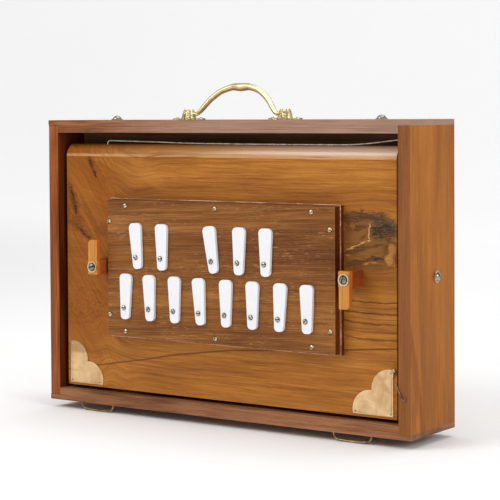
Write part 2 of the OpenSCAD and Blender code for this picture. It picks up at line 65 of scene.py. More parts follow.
FOOT_WIRE, FOOT_WIDE = 0.001, 0.041     # radius of the wire, and width of one foot
HANDLE_LEAN = -18           # degrees that the handle leans back at rest
SPRING_WIRE = 0.00084       # radius
PLEAT_DEPTH, LEATHER_THICK = 0.008, 0.0009
SHADED_FROM = 0.0555        # the corner brass is darker above this height
FINE_MM = 0.5               # handling scratches on metal
SPLIT_BROWN = "#4A2410"     # inside a split or a dark growth line
TABS = [f"tab_{i:02d}" for i in range(1, 14)]

# The front board's marks, in millimetres in its face: middle X and Z, half length, half height, turn in
# radians. A stain adds its tint, its strength and how ragged its rim is; a wave is a height, a width and a
# strength; a crack is a middle, a half length, a turn and a tint.
KNOT_STAINS = [(159, 177, 31, 28, 0, "#6E4722", 0.86, 0.3), (140, 177, 12, 20, 0, "#7A4C22", 0.6, 0.7),
               (146, 197.5, 20, 5.6, 0.12, "#46301E", 0.92, 0.35),
               (171, 196.5, 18, 6.2, -0.2, "#463024", 0.92, 0.35),
               (146, 184, 12.5, 7.5, 0.1, "#875628", 0.85, 0.5),
               (138.5, 187, 4, 5, 0.3, "#62371A", 0.7, 0.9),
               (148, 188, 8, 2.4, 0.2, "#4A2A12", 0.85, 0.9),
               (152, 181, 5, 1.6, 0.7, "#4E2C10", 0.7, 0.9),
               (172, 190, 15, 5, -0.05, "#524231", 0.95, 0.4),
               (146, 168.5, 15, 3.2, 0.23, "#52331A", 0.9, 0.5),
               (159, 168.6, 14, 2.8, 0.2, "#84582A", 0.85, 0.5),
               (165, 173.4, 11, 1.6, 0.2, "#50321C", 0.85, 0.6),
               (149, 158.5, 18, 3.2, 0.25, "#50311B", 0.88, 0.5),
               (168, 162, 7.5, 2.4, 0.05, "#2A211C", 0.95, 0.6),
               (160, 154.3, 26, 2.4, 0.03, "#6A401F", 0.6, 0.5),
               (181, 177.5, 6, 1.8, -0.2, "#6B4A30", 0.7, 0.6),
               (172.5, 185.5, 15.5, 7.8, 0.05, "#2E2416", 0.97, 0.26),
               (185.6, 163, 1.8, 8, 0, "#4A2C16", 0.8, 0.4),
               (178.6, 167, 7.4, 11, -0.15, "#50300F", 0.85, 0.4),
               (181, 170.6, 3.8, 5.4, 0.1, "#B87F3D", 0.96, 0.3),
               (178.2, 162.2, 5, 5.2, -0.1, "#BE8642", 0.96, 0.3)]
LEFT_STAINS = [(-165, 160, 60, 120, 0, "#8C4A0C", 0.66, 0.1),
               (-153.8, 241, 15, 4.6, -1.14, "#7A3F18", 0.85, 0.9),
               (-154, 240, 11, 2.4, -1.14, "#5C2C06", 0.9, 0.9),
               (-156, 242.4, 5, 1.5, -1.25, "#3A1C04", 0.95, 0.5),
               (-150, 231, 3.8, 1.8, -0.9, "#3E1E04", 0.95, 0.5),
               (-177.8, 205, 20, 6, -1.23, "#74411A", 0.85, 0.9),
               (-177.6, 204, 15, 3, -1.23, "#562C08", 0.9, 1.0),
               (-179, 211.5, 6.5, 1.2, -1.2, "#361A04", 0.95, 0.6),
               (-174.8, 195, 6, 1.5, -1.35, "#361A04", 0.95, 0.6),
               (-174, 184, 9, 8, 0.3, "#693A16", 0.85, 1.1),
               (-164, 174, 14, 4.5, -0.635, "#6A3C18", 0.8, 1.0),
               (-164, 173, 11, 2.0, -0.635, "#43210C", 0.9, 0.9),
               (-184.5, 190, 3, 17, 0, "#683A16", 0.6, 0.9),
               (-157, 190, 20, 3.6, -0.957, "#7C481A", 0.6, 0.5),
               (-146, 196, 16, 2.4, -1.0, "#84501E", 0.45, 0.5),
               (-141, 177, 7, 9, -1.0, "#70401A", 0.55, 0.8), (-85, 233, 26, 9, -0.6, "#BC7C38", 0.4, 0.5)]
PALE_CRACK, TAN_CRACK = "#CBA268", "#B5773F"
BOARD_MARKS = {
    "knot": (161, 178, 31, 25, 0.1), "filler": (173, 187, 14, 8, 0), "curl": (-166, 101, 24, 15, 0.35),
    "feather": -0.95, "stains": KNOT_STAINS + LEFT_STAINS,
    "waves": [(124, 1.3, 0.75), (119, 0.8, 0.35), (114, 1.5, 0.8), (109.5, 0.8, 0.4), (105, 1.3, 0.7),
              (98, 0.8, 0.45), (91.5, 1.2, 0.6)],
    "cracks": [(141, 171.3, 6.2, 0.275, PALE_CRACK), (151, 174.9, 5.4, 0.405, PALE_CRACK),
               (157.8, 177.5, 3, 0.3, PALE_CRACK), (158, 183.5, 5, 1.6, PALE_CRACK),
               (158.7, 189.8, 3.4, 1.4, PALE_CRACK), (136.1, 163.7, 3.3, 0.1, PALE_CRACK),
               (155, 157.7, 4.5, 0.24, TAN_CRACK), (163, 158.3, 4.4, -0.1, TAN_CRACK)]}


def lin(text):
    """sRGB hex text as a linear RGBA colour."""
    part = [int(text[i:i + 2], 16) / 255 for i in (1, 3, 5)]
    return tuple(c / 12.92 if c <= 0.04045 else ((c + 0.055) / 1.055) ** 2.4 for c in part) + (1.0,)


def add(tree, kind, links=None, **settings):
    """Adds one shader node; links maps an input to a value or to another node's output."""
    node = tree.nodes.new(kind)
    for key, value in settings.items():
        if key == "ramp":
            while len(node.color_ramp.elements) < len(value):
                node.color_ramp.elements.new(0.5)
            for stop, (at, colour) in zip(node.color_ramp.elements, value):
                stop.position, stop.color = at, lin(colour)
        else:
            setattr(node, key, value)
    for key, value in (links or {}).items():
        if isinstance(value, bpy.types.NodeSocket):
            tree.links.new(value, node.inputs[key])
        else:
            node.inputs[key].default_value = value
    return node


def fresh(name):
    """A new material with its Principled shader, node tree and Object coordinates."""
    mat = bpy.data.materials.new(name)
    mat.use_nodes = True
    tree = mat.node_tree
    shader = tree.nodes["Principled BSDF"]
    return mat, tree, shader, add(tree, "ShaderNodeTexCoord").outputs["Object"]


def maths(tree, how, a, b=0.0, c=0.0, clamp=False):
    """The result of one arithmetic step on masks or numbers."""
    return add(tree, "ShaderNodeMath", {0: a, 1: b, 2: c}, operation=how, use_clamp=clamp).outputs[0]


def times(tree, *factors):
    """The product of several masks or numbers."""
    product = factors[0]
    for factor in factors[1:]:
        product = maths(tree, "MULTIPLY", product, factor)
    return product


def mixed(tree, amount, a, b, how="MIX"):
    """Colour a towards colour b by amount."""
    return add(tree, "ShaderNodeMix", {0: amount, 6: a, 7: b}, data_type="RGBA", blend_type=how).outputs[2]


def soft_step(tree, value, low, high):
    """0 at low, 1 at high, smooth between; low may be the larger."""
    return add(tree, "ShaderNodeMapRange", {0: value, 1: low, 2: high, 3: 0.0, 4: 1.0},
               interpolation_type="SMOOTHSTEP").outputs[0]


def ellipse(tree, flat, cx, cz, rx, rz, turn, rough):
    """How far a point is from a turned ellipse in the board's face; 1 on its edge."""
    local = add(tree, "ShaderNodeMapping", {"Vector": flat, "Location": (cx * MM, 0, cz * MM),
                "Rotation": (0, -turn, 0), "Scale": (rx * MM, 1, rz * MM)},
                vector_type="TEXTURE").outputs[0]
    away = add(tree, "ShaderNodeVectorMath", {0: local}, operation="LENGTH").outputs["Value"]
    return maths(tree, "ADD", away, rough)


def threads(tree, source, long_mm, wide_mm, detail=4.0, distortion=0.0, offset=0.0):
    """Noise drawn out along X; its threads are long_mm by wide_mm."""
    scaled = add(tree, "ShaderNodeMapping", {"Vector": source, "Location": (offset, offset, offset),
                 "Scale": (1 / long_mm / MM, 1 / wide_mm / MM, 1 / wide_mm / MM)}).outputs[0]
    return add(tree, "ShaderNodeTexNoise", {"Vector": scaled, "Scale": 1.0, "Detail": detail,
               "Roughness": 0.6, "Distortion": distortion}).outputs["Fac"]


def marked(tree, colour, parts, broad, marks):
    """The front board's knot, filler, cracks, split and streaks, laid over its grain."""
    flat = add(tree, "ShaderNodeCombineXYZ", {0: parts[0], 1: 0.0, 2: parts[2]}).outputs[0]
    ripple = maths(tree, "SUBTRACT", threads(tree, flat, 13, 6, 5, 0.8, 9.1), 0.5)
    crumb = maths(tree, "SUBTRACT", threads(tree, flat, 4, 3, 5, 0.6, 4.1), 0.5)
    thread = soft_step(tree, threads(tree, flat, 9, 0.8, 4, 0.8, 2.9), 0.4, 0.58)
    thread = maths(tree, "MULTIPLY_ADD", thread, 0.5, 0.5)
    loose = add(tree, "ShaderNodeCombineXYZ", {
        0: maths(tree, "MULTIPLY_ADD", crumb, 0.004, parts[0]), 1: 0.0,
        2: maths(tree, "MULTIPLY_ADD", ripple, 0.008, parts[2])}).outputs[0]
    ragged = maths(tree, "MULTIPLY", maths(tree, "ADD", ripple, crumb), 1.7)
    # feathered crotch figure: fine threads fan down to the right across the left end
    tilt = add(tree, "ShaderNodeMapping", {"Vector": loose, "Rotation": (0, marks["feather"], 0)})
    feather = threads(tree, tilt.outputs[0], 40, 1.5, 4, 0.5, 12.4)
    where_left = maths(tree, "MULTIPLY", soft_step(tree, parts[0], -0.105, -0.15),
                       maths(tree, "MULTIPLY_ADD", soft_step(tree, parts[2], 0.05, 0.15), 0.7, 0.3))
    for low, high, depth, tint in ((0.49, 0.62, 0.62, "#6E3608"), (0.47, 0.36, 0.42, "#D0903C")):
        amount = times(tree, soft_step(tree, feather, low, high), depth, where_left)
        colour = mixed(tree, amount, colour, lin(tint))
    for cx, cz, rx, rz, turn, tint, depth, torn in marks["stains"]:
        stain = ellipse(tree, loose, cx, cz, rx, rz, turn, maths(tree, "MULTIPLY", ragged, torn))
        amount = maths(tree, "MULTIPLY", soft_step(tree, stain, 1.2, 0.6), depth)
        if torn > 0.2:
            amount = times(tree, amount, thread)
        colour = mixed(tree, amount, colour, lin(tint))
    curls = ellipse(tree, loose, *marks["curl"], maths(tree, "MULTIPLY", ripple, 1.6))
    wave = soft_step(tree, maths(tree, "SINE", maths(tree, "MULTIPLY", curls, 19.0)), 0.1, 0.95)
    colour = mixed(tree, maths(tree, "MULTIPLY", wave, soft_step(tree, curls, 1.5, 0.9)), colour,
                   mixed(tree, 0.36, colour, lin("#5E2E0A")))
    slow = maths(tree, "MULTIPLY", maths(tree, "SUBTRACT", broad, 0.5), 0.004)
    sweep = maths(tree, "MINIMUM", maths(tree, "MULTIPLY_ADD", parts[0], 0.084, 0.0694),
                  maths(tree, "MINIMUM", maths(tree, "MULTIPLY_ADD", parts[0], 0.13, 0.0689),
                        maths(tree, "MULTIPLY_ADD", parts[0], 0.186, 0.0718)))
    gap = maths(tree, "ABSOLUTE", maths(tree, "SUBTRACT", parts[2], maths(tree, "ADD", sweep, slow)))
    amount = times(tree, soft_step(tree, gap, 0.0012, 0.0002), 0.7)
    colour = mixed(tree, amount, colour, lin(SPLIT_BROWN))
    right = soft_step(tree, parts[0], 0.10, 0.142)
    off = maths(tree, "SUBTRACT", parts[0], 0.165)
    bow = maths(tree, "MULTIPLY_ADD", times(tree, off, off), 1.6, times(tree, ripple, 0.004))
    for level, wide, depth in marks["waves"]:
        line = maths(tree, "ADD", bow, level * MM)
        gap = maths(tree, "ABSOLUTE", maths(tree, "SUBTRACT", parts[2], line))
        amount = times(tree, soft_step(tree, gap, wide * MM, 0.0001), right, depth)
        colour = mixed(tree, amount, colour, lin(SPLIT_BROWN))
    # pale specks over the dark filler stand for its highlights: painted highlights
    fill = ellipse(tree, loose, *marks["filler"], maths(tree, "MULTIPLY", ragged, 0.5))
    speck = soft_step(tree, threads(tree, flat, 1.5, 1.1, 3, 0.5, 6.3), 0.58, 0.68)
    amount = times(tree, speck, soft_step(tree, fill, 1.5, 1.0), 0.6)
    colour = mixed(tree, amount, colour, lin("#94826A"))
    for cx, cz, half, turn, tint in marks["cracks"]:
        seam = ellipse(tree, loose, cx, cz, half, 0.6, turn, 0.0)
        amount = times(tree, soft_step(tree, seam, 1.25, 0.6), 0.9)
        colour = mixed(tree, amount, colour, lin(tint))
    return colour


def wood(name, light, middle, dark, along="X", streak_mm=1.1, ring_mm=12.0, ring=0.3, fleck=0.0, calm=1.0,
         rough=0.42, coat=0.02, marks=None, slant=0.0, front=None, cheek=None, bend=2.2, painted_sheen=None):
    """Sawn and varnished board: long fine streaks, slow growth lines, short pores; front and cheek tint the
    faces that look along Y and X, where end grain or another cut shows; cheek also darkens sides turned
    from the light as painted shade."""
    mat, tree, shader, where = fresh(name)
    swap = {"X": (0, 0, 0), "Z": (0, math.pi / 2, 0), "Y": (0, 0, math.pi / 2)}[along]
    spot = add(tree, "ShaderNodeMapping", {"Vector": where, "Rotation": swap}).outputs[0]
    if slant:
        spot = add(tree, "ShaderNodeMapping", {"Vector": spot, "Rotation": (0, slant, 0)}).outputs[0]
    parts = add(tree, "ShaderNodeSeparateXYZ", {0: spot}).outputs
    x, y, z = parts[0], parts[1], parts[2]
    if marks:
        # the grain parts round the knot, and sweeps down and curls at the crotch on the left
        face = add(tree, "ShaderNodeCombineXYZ", {0: x, 1: 0.0, 2: z}).outputs[0]
        near = maths(tree, "EXPONENT", maths(tree, "MULTIPLY", maths(tree, "POWER",
               ellipse(tree, face, *marks["knot"], 0.0), 2), -0.8))
        lift = maths(tree, "MULTIPLY", maths(tree, "SUBTRACT", z, marks["knot"][1] * MM), near)
        z = maths(tree, "SUBTRACT", z, maths(tree, "MULTIPLY", lift, 0.6))
        left = maths(tree, "MINIMUM", maths(tree, "ADD", x, 0.085), 0.0)
        z = maths(tree, "ADD", z, maths(tree, "MULTIPLY", maths(tree, "MULTIPLY", left, left), -3.0))
        curl = add(tree, "ShaderNodeTexNoise", {"Vector": face, "Scale": 17.0, "Detail": 1.0}).outputs[0]
        curl = times(tree, maths(tree, "SUBTRACT", curl, 0.5), soft_step(tree, x, -0.06, -0.15))
        z = maths(tree, "MULTIPLY_ADD", curl, 0.07, z)
    bent = add(tree, "ShaderNodeCombineXYZ", {0: x, 1: y, 2: z}).outputs[0]
    streak = threads(tree, bent, 48, streak_mm, 5, 0.15)
    broad = threads(tree, bent, 260, 26, 2, 0.3, 3.1)
    blend = maths(tree, "ADD", maths(tree, "MULTIPLY", streak, 0.5), maths(tree, "MULTIPLY", broad, 0.5))
    spread = 0.12 * calm
    base = add(tree, "ShaderNodeValToRGB", {0: blend},
               ramp=[(0.5 - spread, dark), (0.5, middle), (0.5 + spread, light)]).outputs[0]
    # growth lines that wander slowly and fade in and out
    wander = maths(tree, "MULTIPLY", threads(tree, bent, 330, 80, 1, 0.0, 7.7), bend)
    saw = maths(tree, "FRACT", maths(tree, "ADD", maths(tree, "DIVIDE", z, ring_mm * MM), wander))
    line = maths(tree, "MULTIPLY", soft_step(tree, saw, 0.55, 0.95), soft_step(tree, saw, 1.0, 0.96))
    line = maths(tree, "MULTIPLY", line, soft_step(tree, threads(tree, bent, 60, 14, 2, 0, 2.2), 0.4, 0.62))
    colour = mixed(tree, maths(tree, "MULTIPLY", line, ring), base, lin(dark), "MULTIPLY")
    pore = soft_step(tree, threads(tree, bent, 5, 0.4, 2, 0, 1.3), 0.6, 0.72)
    colour = mixed(tree, maths(tree, "MULTIPLY", pore, 0.42), colour, lin(dark), "MULTIPLY")
    if fleck:
        ray = soft_step(tree, threads(tree, bent, 7, 0.7, 3, 0.4, 5.5), 0.56, 0.7)
        where_ray = soft_step(tree, threads(tree, bent, 60, 12, 2, 0, 8.5), 0.38, 0.6)
        colour = mixed(tree, times(tree, ray, where_ray, fleck), colour, lin("#C79464"))
    fine = threads(tree, bent, 24, 0.32, 3, 0.2, 6.6)
    fine = times(tree, soft_step(tree, fine, 0.46, 0.66), 0.34)
    colour = mixed(tree, fine, colour, lin(dark), "MULTIPLY")
    if marks:
        colour = marked(tree, colour, parts, broad, marks)
    if painted_sheen:
        # painted sheen: a greyish reflection, streaky with the grain, laid over the colour towards one end
        tint, start, end, depth = painted_sheen
        sheen_amount = maths(tree, "MULTIPLY", soft_step(tree, parts[0], start * MM, end * MM),
                       maths(tree, "MULTIPLY_ADD", streak, 1.6 * depth, 0.2 * depth), clamp=True)
        colour = mixed(tree, sheen_amount, colour, lin(tint))
    facing_way = add(tree, "ShaderNodeTexCoord").outputs["Normal"]
    normal = add(tree, "ShaderNodeSeparateXYZ", {0: facing_way}).outputs
    if front:
        # the front edge shows another cut of the plank, browner than the side
        facing = soft_step(tree, normal[1], -0.6, -0.85)
        colour = mixed(tree, maths(tree, "MULTIPLY", facing, 0.6), colour, lin(front))
    if cheek:
        tinted = mixed(tree, 1.0, colour, lin(cheek), "MULTIPLY")
        colour = mixed(tree, soft_step(tree, normal[0], 0.6, 0.85), colour, tinted)
    if marks:
        # the rounded upper edge carries a painted highlight, most of all on the right, golden turning pale;
        # a thin painted highlight line runs where the rounding starts, and the same mask raises the coat
        polish_and_highlight = times(tree, soft_step(tree, normal[2], 0.02, 0.4), soft_step(tree, parts[0], -0.2, 0.1))
        sheen = mixed(tree, soft_step(tree, parts[0], -0.06, 0.14), lin("#DCA664"), lin("#E8D0BC"))
        colour = mixed(tree, maths(tree, "MULTIPLY", polish_and_highlight, 0.5), colour, sheen)
        rim = times(tree, soft_step(tree, normal[2], 0.01, 0.08), soft_step(tree, normal[2], 0.3, 0.12),
                    soft_step(tree, streak, 0.3, 0.5), 0.4)
        colour = mixed(tree, rim, colour, lin("#EDBE80"))
        tree.links.new(maths(tree, "MULTIPLY_ADD", polish_and_highlight, 0.8, coat), shader.inputs["Coat Weight"])
    tree.links.new(colour, shader.inputs["Base Color"])
    tree.links.new(maths(tree, "MULTIPLY_ADD", streak, 0.2, rough - 0.1), shader.inputs["Roughness"])
    shader.inputs["Specular IOR Level"].default_value = 0.14
    bump = add(tree, "ShaderNodeBump", {"Strength": 0.12, "Distance": 0.0003, "Height":
               maths(tree, "SUBTRACT", streak, maths(tree, "MULTIPLY", pore, 0.5))})
    tree.links.new(bump.outputs[0], shader.inputs["Normal"])
    if not marks:
        shader.inputs["Coat Weight"].default_value = coat
    shader.inputs["Coat Roughness"].default_value = 0.2
    return mat


def fluted(name, bright, hollow, mid, half, y0):
    """Cast brass boss with flutes round its upright axis; the hollows keep old polish."""
    mat, tree, shader, where = fresh(name)
    part = add(tree, "ShaderNodeSeparateXYZ", {0: where}).outputs
    side = maths(tree, "SUBTRACT", maths(tree, "ABSOLUTE", maths(tree, "SUBTRACT", part[0], mid)), half)
    turn = maths(tree, "ARCTAN2", maths(tree, "SUBTRACT", part[1], y0), side)
    ridge = maths(tree, "ABSOLUTE", maths(tree, "SINE", times(tree, turn, 4.0)))
    flute = soft_step(tree, ridge, 0.0, 0.6)
    stain = add(tree, "ShaderNodeTexNoise", {"Vector": where, "Scale": 420.0, "Detail": 4.0}).outputs["Fac"]
    high = maths(tree, "MULTIPLY", flute, soft_step(tree, stain, 0.3, 0.6))
    tree.links.new(mixed(tree, high, lin(hollow), lin(bright)), shader.inputs["Base Color"])
    tree.links.new(maths(tree, "MULTIPLY_ADD", high, -0.15, 0.45), shader.inputs["Roughness"])
    bump = add(tree, "ShaderNodeBump", {"Strength": 0.6, "Distance": 0.0006, "Height": high})
    tree.links.new(bump.outputs[0], shader.inputs["Normal"])
    shader.inputs["Metallic"].default_value = 1.0
    return mat


def chipped(name, sound, bare):
    """Rubbed arris: the polish is gone in short runs, where the pale wood shows."""
    mat, tree, shader, where = fresh(name)
    long = add(tree, "ShaderNodeTexNoise", {"Vector": where, "Scale": 45.0, "Detail": 6.0,
               "Roughness": 0.7}).outputs["Fac"]
    amount = soft_step(tree, long, 0.43, 0.56)
    tree.links.new(mixed(tree, amount, lin(sound), lin(bare)), shader.inputs["Base Color"])
    tree.links.new(maths(tree, "MULTIPLY_ADD", amount, 0.2, 0.45), shader.inputs["Roughness"])
    bump = add(tree, "ShaderNodeBump", {"Strength": 0.3, "Distance": 0.0003, "Height": long})
    tree.links.new(bump.outputs[0], shader.inputs["Normal"])
    shader.inputs["Specular IOR Level"].default_value = 0.3
    return mat


def metal(name, bright, dull, rough, patch_mm=6.0, ramp=(0.35, 0.65), recess_shade=None, shaded=None):
    """Rolled, cast or drawn metal with handling stains."""
    mat, tree, shader, where = fresh(name)
    stain = add(tree, "ShaderNodeTexNoise", {"Vector": where, "Scale": 1 / patch_mm / MM, "Detail": 6.0,
                "Roughness": 0.65, "Distortion": 0.6}).outputs["Fac"]
    colour = add(tree, "ShaderNodeValToRGB", {0: stain},
                 ramp=[(ramp[0], dull), (ramp[1], bright)]).outputs[0]
    part = add(tree, "ShaderNodeSeparateXYZ", {0: where}).outputs
    if recess_shade:
        # painted shade: the slots and the rims round the heads, set back from their tops, are darkened
        top, tall = recess_shade
        shaded_depth = soft_step(tree, part[1], top + 0.5 * tall, top + 0.8 * tall)
        colour = mixed(tree, shaded_depth, colour, lin("#2A231A"))
    if shaded:
        # painted shade: the left corner's upper lobe is darkened, standing in for a duller reflection there
        dim = times(tree, soft_step(tree, part[2], shaded - 0.0012, shaded + 0.0012),
                    soft_step(tree, part[0], 0.0, -0.1), 0.55)
        colour = mixed(tree, dim, colour, lin("#A47A50"))
    tree.links.new(colour, shader.inputs["Base Color"])
    tree.links.new(maths(tree, "MULTIPLY_ADD", stain, -0.2, rough + 0.1), shader.inputs["Roughness"])
    fine = add(tree, "ShaderNodeTexNoise", {"Vector": where, "Scale": 1 / FINE_MM / MM,
               "Detail": 3.0}).outputs[0]
    bump = add(tree, "ShaderNodeBump", {"Strength": 0.08, "Distance": 0.0002, "Height": fine})
    tree.links.new(bump.outputs[0], shader.inputs["Normal"])
    shader.inputs["Metallic"].default_value = 1.0
    return mat


def hide(name, base, crease, rough, grain_mm):
    """Thin leather with pebbled grain."""
    mat, tree, shader, where = fresh(name)
    pebbles = add(tree, "ShaderNodeTexVoronoi", {"Vector": where, "Scale": 1 / grain_mm / MM})
    tone = add(tree, "ShaderNodeTexNoise", {"Vector": where, "Scale": 60.0, "Detail": 4.0}).outputs["Fac"]
    colour = mixed(tree, soft_step(tree, tone, 0.35, 0.7), lin(crease), lin(base))
    tree.links.new(colour, shader.inputs["Base Color"])
    shader.inputs["Roughness"].default_value = rough
    bump = add(tree, "ShaderNodeBump", {"Strength": 0.3, "Distance": 0.0003,
               "Height": pebbles.outputs["Distance"]})
    tree.links.new(bump.outputs[0], shader.inputs["Normal"])
    return mat


def plastic(name, face, shade):
    """Polished cast acrylic: white, glossy, slightly milky."""
    mat, tree, shader, where = fresh(name)
    haze = add(tree, "ShaderNodeTexNoise", {"Vector": where, "Scale": 90.0, "Detail": 3.0}).outputs["Fac"]
    tree.links.new(mixed(tree, haze, lin(face), lin(shade)), shader.inputs["Base Color"])
    shader.inputs["Roughness"].default_value = 0.22
    shader.inputs["Subsurface Weight"].default_value = 0.08
    shader.inputs["Subsurface Scale"].default_value = 0.002
    scratch = add(tree, "ShaderNodeTexNoise", {"Vector": where, "Scale": 900.0, "Detail": 2.0}).outputs[0]
    bump = add(tree, "ShaderNodeBump", {"Strength": 0.04, "Distance": 0.0002, "Height": scratch})
    tree.links.new(bump.outputs[0], shader.inputs["Normal"])
    return mat


def dress(names, mat, edge=0.0, segments=3, arris=None):
    """Gives CAD nodes a finish and takes the sharpness off their edges."""
    for name in names:
        node = frame["nodes"][name]
        node.data.materials.clear()
        node.data.materials.append(mat)
        if arris:
            node.data.materials.append(arris)
        if edge:
            weld = node.modifiers.new("joined", "WELD")
            weld.merge_threshold = 1e-5
            worn = node.modifiers.new("worn_edge", "BEVEL")
            worn.width, worn.segments = edge * MM, segments
            worn.limit_method, worn.angle_limit = "ANGLE", 0.6
            worn.harden_normals, worn.material = False, 1 if arris else -1


def finished(bm, name, mat, body, nodes, smooth=True):
    """Turns a bmesh into a piece that stands for CAD nodes and rides on a body."""
    bmesh.ops.remove_doubles(bm, verts=bm.verts, dist=1e-6)
    bmesh.ops.recalc_face_normals(bm, faces=bm.faces)
    mesh = bpy.data.meshes.new(name)
    bm.to_mesh(mesh)
    bm.free()
    for face in mesh.polygons:
        face.use_smooth = smooth
    mesh.materials.append(mat)
    piece = bpy.data.objects.new(name, mesh)
    bpy.context.scene.collection.objects.link(piece)
    if body:
        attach(piece, body)
    if nodes:
        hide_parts(*nodes)
    return piece


def swept(bm, path, radii, sides):
    """A round bar through the points; radii give its thickness at each of them."""
    rings = []
    for i, point in enumerate(path):
        ahead = (path[min(i + 1, len(path) - 1)] - path[max(i - 1, 0)]).normalized()
        side = ahead.cross(Vector((0, 1, 0)))
        side = side.normalized() if side.length > 0.05 else Vector((1, 0, 0))
        turn = Matrix((side, side.cross(ahead) * -1, ahead)).transposed()
        made = bmesh.ops.create_circle(bm, segments=sides, radius=radii[i], cap_ends=False)["verts"]
        bmesh.ops.transform(bm, verts=made, matrix=Matrix.Translation(point) @ turn.to_4x4())
        rings.append([e for e in bm.edges if e.verts[0] in made and e.verts[1] in made])
    for a, b in zip(rings, rings[1:]):
        bmesh.ops.bridge_loops(bm, edges=a + b)
    for end in (rings[0], rings[-1]):
        bmesh.ops.contextual_create(bm, geom=end)


def through(points, steps=8):
    """Smooth path through the points (Catmull-Rom), in metres."""
    pts = [Vector(p) for p in points]
    pts = [pts[0] * 2 - pts[1]] + pts + [pts[-1] * 2 - pts[-2]]
    out = []
    for a, b, c, d in zip(pts, pts[1:], pts[2:], pts[3:]):
        for k in range(steps):
            t = k / steps
            out.append(0.5 * ((2 * b) + (c - a) * t + (2 * a - 5 * b + 4 * c - d) * t * t
                              + (3 * b - a - 3 * c + d) * t ** 3))
    return out + [pts[-2]]


class ShrutiWoods(bpy.types.PropertyGroup):
    """Tones and wear of the boards"""
    board: bpy.props.StringProperty(
        name="Front board", description="Middle tone of the teak front board", default="#A96A27")
    plate: bpy.props.StringProperty(
        name="Key plate", description="Middle tone of the stained key plate", default="#8B5727")
    case: bpy.props.StringProperty(
        name="Case", description="Middle tone of the right case board", default="#AC6612")
    wear: bpy.props.FloatProperty(
        name="Edge wear", description="Radius of the worn edges", default=0.0009, min=0.0001, max=0.002,
        subtype="DISTANCE", unit="LENGTH")


class ShrutiMetals(bpy.types.PropertyGroup):
    """The handle's brass"""
    brass: bpy.props.StringProperty(
        name="Brass", description="Bright tone of the polished brass", default="#EBDFB0")
    bail: bpy.props.FloatProperty(
        name="Bail thickness", description="Thickness that the handle's radii are shares of",
        default=0.0070, subtype="DISTANCE", unit="LENGTH")


class ShrutiBellows(bpy.types.PropertyGroup):
    """Folds and leather of the bellows"""
    pleats: bpy.props.IntProperty(
        name="Pleats", description="Folds in each bellows", default=5, min=2, max=8)
    leather: bpy.props.StringProperty(
        name="Leather", description="Colour of the bellows leather", default="#4A1512")


class ShrutiStage(bpy.types.PropertyGroup):
    """Lights of the stage"""
    key: bpy.props.FloatProperty(
        name="Main light", description="Strength of the large soft light", default=23, unit="POWER")
    fill: bpy.props.FloatProperty(
        name="Surround", description="Strength of the even surrounding light", default=0.56)


class SHRUTI_OT_stage(bpy.types.Operator):
    """Camera, seamless pale floor and soft lights"""
    bl_idname = "shruti.stage"
    bl_label = "Stage"

    def execute(self, context):
        look = context.scene.shruti_stage
        data = bpy.data.cameras.new("camera")
        data.lens, data.sensor_width = LENS_MM, 36
        data.clip_start, data.clip_end = 0.05, 30
        data.shift_y = LENS_SHIFT
        cam = bpy.data.objects.new("camera", data)
        context.scene.collection.objects.link(cam)
        yaw, pitch, roll = (math.radians(turn) for turn in CAMERA_TURN)
        level = math.cos(pitch)
        ahead = Vector((-math.sin(yaw) * level, math.cos(yaw) * level, -math.sin(pitch)))
        right = ahead.cross(Vector((0, 0, 1))).normalized()
        up = right.cross(ahead)
        tilt, lean = math.cos(roll), math.sin(roll)
        right, up = right * tilt + up * lean, up * tilt - right * lean
        turned = Matrix((right, up, -ahead)).transposed().to_4x4()
        cam.matrix_world = Matrix.Translation(CAMERA_AT) @ turned
        context.scene.camera = cam
        bm = bmesh.new()
        start = [bm.verts.new(p) for p in ((-5, -4, 0), (5, -4, 0))]
        edge = bm.edges.new(start)
        move = bmesh.ops.extrude_edge_only(bm, edges=[edge])["geom"]
        verts = [v for v in move if isinstance(v, bmesh.types.BMVert)]
        bmesh.ops.translate(bm, verts=verts, vec=(0, 7, 0))
        last = [e for e in move if isinstance(e, bmesh.types.BMEdge)]
        bmesh.ops.spin(bm, geom=last + verts, cent=(0, 3, 2.2), axis=(1, 0, 0), angle=math.pi / 2, steps=16)
        # matt background paper that brightens with distance: no horizon, only a soft shadow
        mat, tree, shader, where = fresh("matt_paper_sweep")
        cloud = add(tree, "ShaderNodeTexNoise", {"Vector": where, "Scale": 1.5}).outputs["Fac"]
        tree.links.new(mixed(tree, cloud, lin("#F7F7F7"), lin("#F4F4F4")), shader.inputs["Base Color"])
        depth = add(tree, "ShaderNodeSeparateXYZ", {0: where}).outputs[1]
        glow = times(tree, soft_step(tree, depth, 0.15, 2.6), 0.335)
        tree.links.new(glow, shader.inputs["Emission Strength"])
        shader.inputs["Emission Color"].default_value = (1, 1, 1, 1)
        shader.inputs["Roughness"].default_value = 0.95
        shader.inputs["Specular IOR Level"].default_value = 0.1
        floor = finished(bm, "floor", mat, None, ())
        world = bpy.data.worlds.new("surround")
        world.use_nodes = True
        world.node_tree.nodes["Background"].inputs[0].default_value = (1, 1, 1, 1)
        world.node_tree.nodes["Background"].inputs[1].default_value = look.fill
        context.scene.world = world
        for name, at, size, power in (("softbox_key", (-0.9, -1.6, 1.7), 1.2, look.key),
                                      ("softbox_side", (2.0, -0.6, 1.1), 0.9, look.key * 0.5),
                                      ("softbox_top", (0.1, 0.3, 1.9), 1.4, look.key * 0.6)):
            lamp = bpy.data.lights.new(name, "AREA")
            lamp.size, lamp.energy = size, power
            box = bpy.data.objects.new(name, lamp)
            box.location = at
            box.rotation_euler = (Vector((0, 0, 0.15)) - Vector(at)).to_track_quat("-Z", "Y").to_euler()
            context.scene.collection.objects.link(box)
        context.scene.view_settings.view_transform = "Standard"
        return {"FINISHED"}


